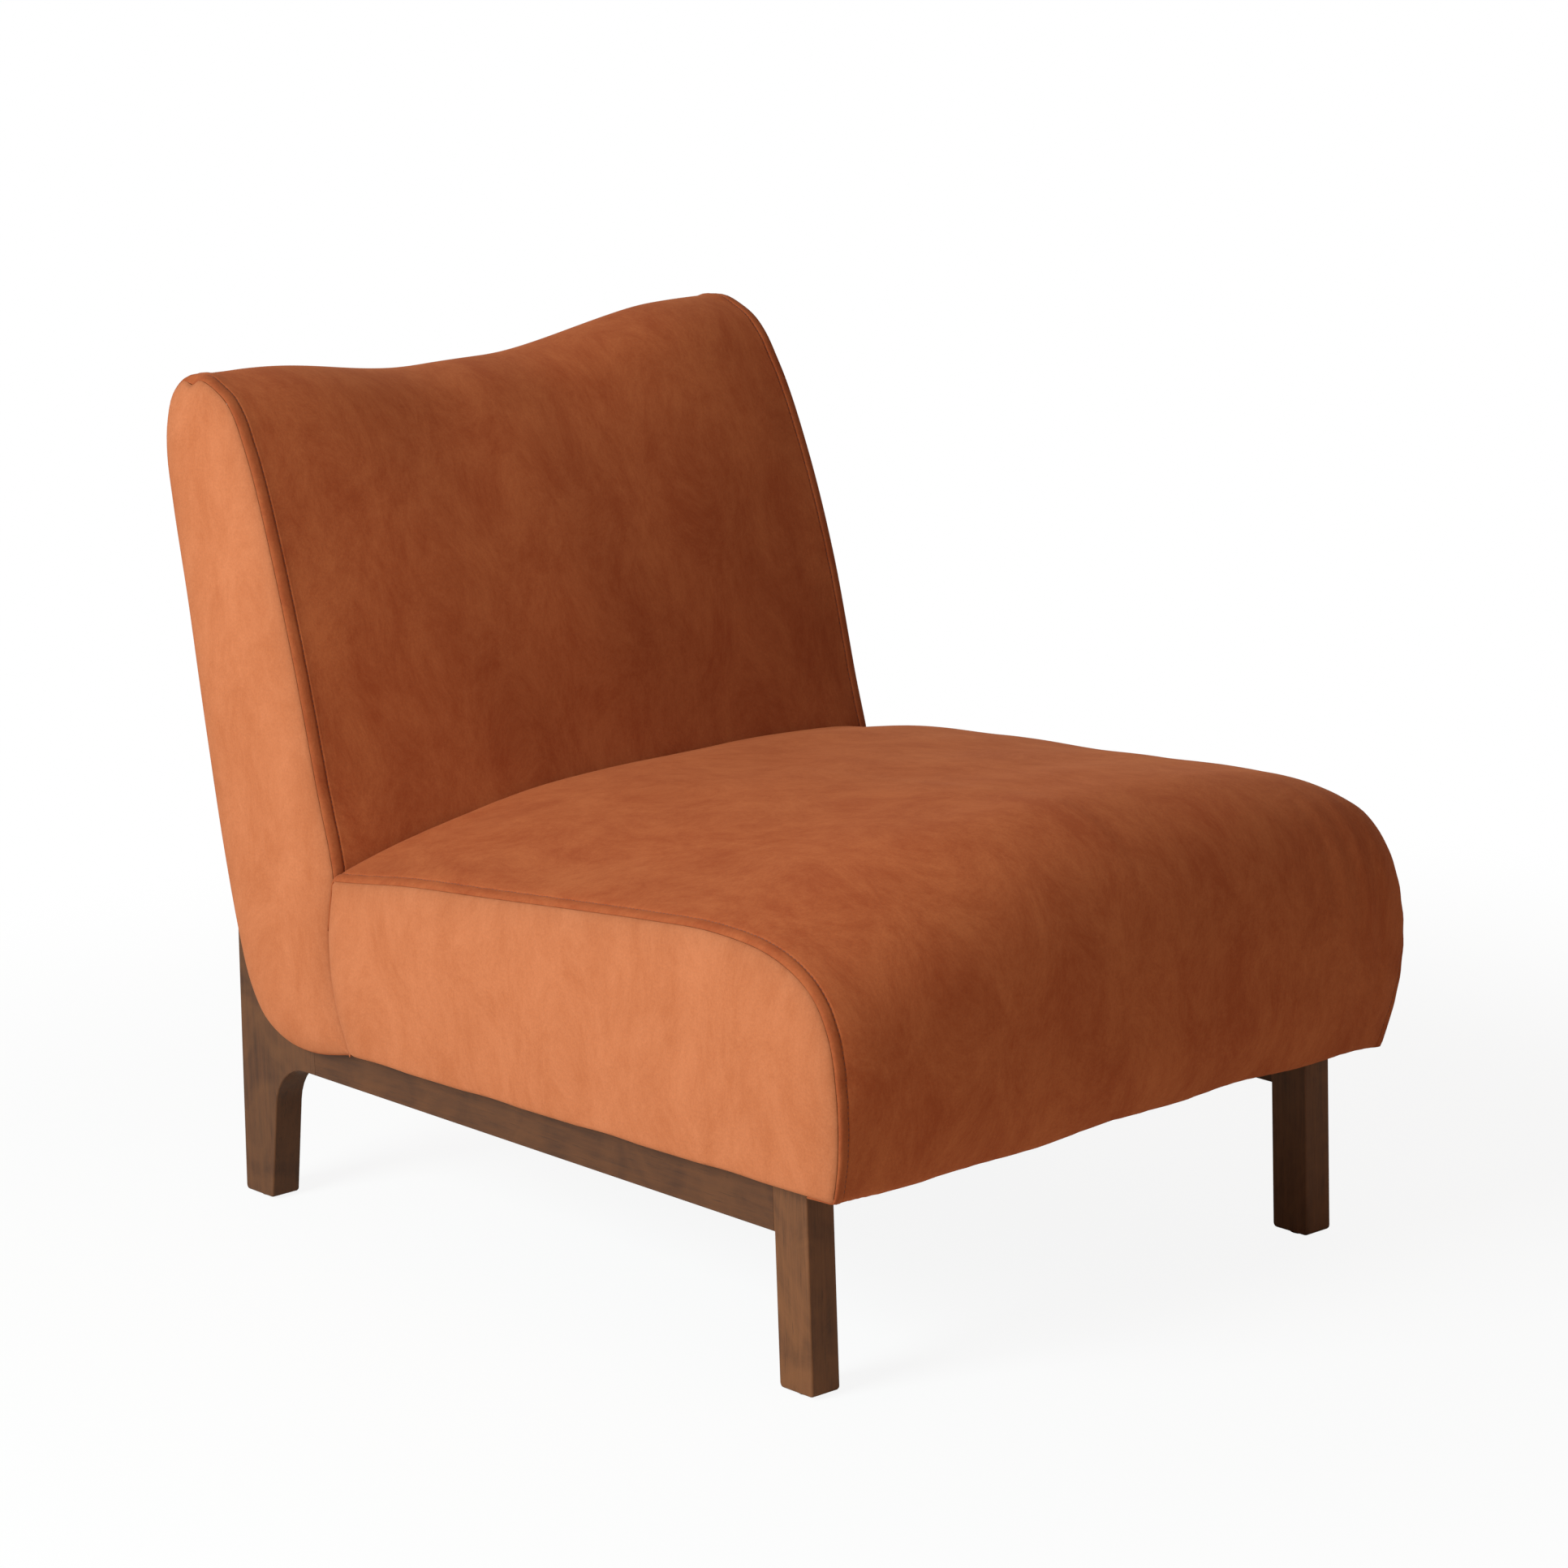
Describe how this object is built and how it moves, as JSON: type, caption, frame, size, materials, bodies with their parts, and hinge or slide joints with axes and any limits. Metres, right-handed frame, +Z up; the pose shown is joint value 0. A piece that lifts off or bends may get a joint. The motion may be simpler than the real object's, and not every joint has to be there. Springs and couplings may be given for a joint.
{
  "type": "slipper_chair",
  "caption": "Low armless upholstered chair with a crowned seat, a reclined back with a hollow top edge, and two stained wooden side frames.",
  "frame": {"origin": "on the floor, under the middle of the chair's outline", "axes": "+Z up; the chair faces -Y; +X is to the right of someone who stands before the chair and faces it"},
  "size_m": [0.672, 0.9627, 0.782],
  "materials": {
    "stained_walnut": "dark walnut stain, satin lacquer",
    "beech": "planed, unfinished",
    "velvet": "rust cut velvet with a soft sheen",
    "foam": "open-cell foam",
    "dust_cloth": "black non-woven cloth",
    "webbing": "dark woven webbing and felt",
    "spring_steel": "drawn wire",
    "zinc_steel": "zinc plated",
    "nylon": "dark brown nylon"
  },
  "bodies": {
    "root": {"front_leg_left": "stained_walnut", "front_leg_right": "stained_walnut", "side_rail_left": "stained_walnut", "side_rail_right": "stained_walnut", "rear_leg_left": "stained_walnut", "rear_leg_right": "stained_walnut", "front_cross_rail": "stained_walnut", "rear_cross_rail": "stained_walnut", "corner_block_front_left": "beech", "corner_block_front_right": "beech", "corner_block_rear_left": "beech", "corner_block_rear_right": "beech", "back_post_left": "beech", "back_post_right": "beech", "seat_frame_left": "beech", "seat_frame_right": "beech", "seat_frame_front": "beech", "seat_frame_rear": "beech", "back_top_rail": "beech", "back_lower_rail": "beech", "foot_glide_front_left": "nylon", "foot_glide_front_right": "nylon", "foot_glide_rear_left": "nylon", "foot_glide_rear_right": "nylon", "body_bolt_front_left": "zinc_steel", "body_bolt_front_right": "zinc_steel", "body_bolt_rear_left": "zinc_steel", "body_bolt_rear_right": "zinc_steel", "threaded_insert_front_left": "zinc_steel", "threaded_insert_front_right": "zinc_steel", "threaded_insert_rear_left": "zinc_steel", "threaded_insert_rear_right": "zinc_steel", "seat_spring_1": "spring_steel", "seat_spring_2": "spring_steel", "seat_spring_3": "spring_steel", "seat_spring_4": "spring_steel", "spring_clip_front_1": "spring_steel", "spring_clip_front_2": "spring_steel", "spring_clip_front_3": "spring_steel", "spring_clip_front_4": "spring_steel", "spring_clip_rear_1": "spring_steel", "spring_clip_rear_2": "spring_steel", "spring_clip_rear_3": "spring_steel", "spring_clip_rear_4": "spring_steel", "back_strap_1": "webbing", "back_strap_2": "webbing", "back_strap_3": "webbing", "spring_insulator": "webbing", "seat_foam": "foam", "back_foam": "foam", "seat_side_cover_left": "velvet", "seat_side_cover_right": "velvet", "back_side_cover_left": "velvet", "back_side_cover_right": "velvet", "seat_cover": "velvet", "back_cover": "velvet", "outside_back_cover": "velvet", "dust_cover": "dust_cloth"}
  },
  "joints": []
}
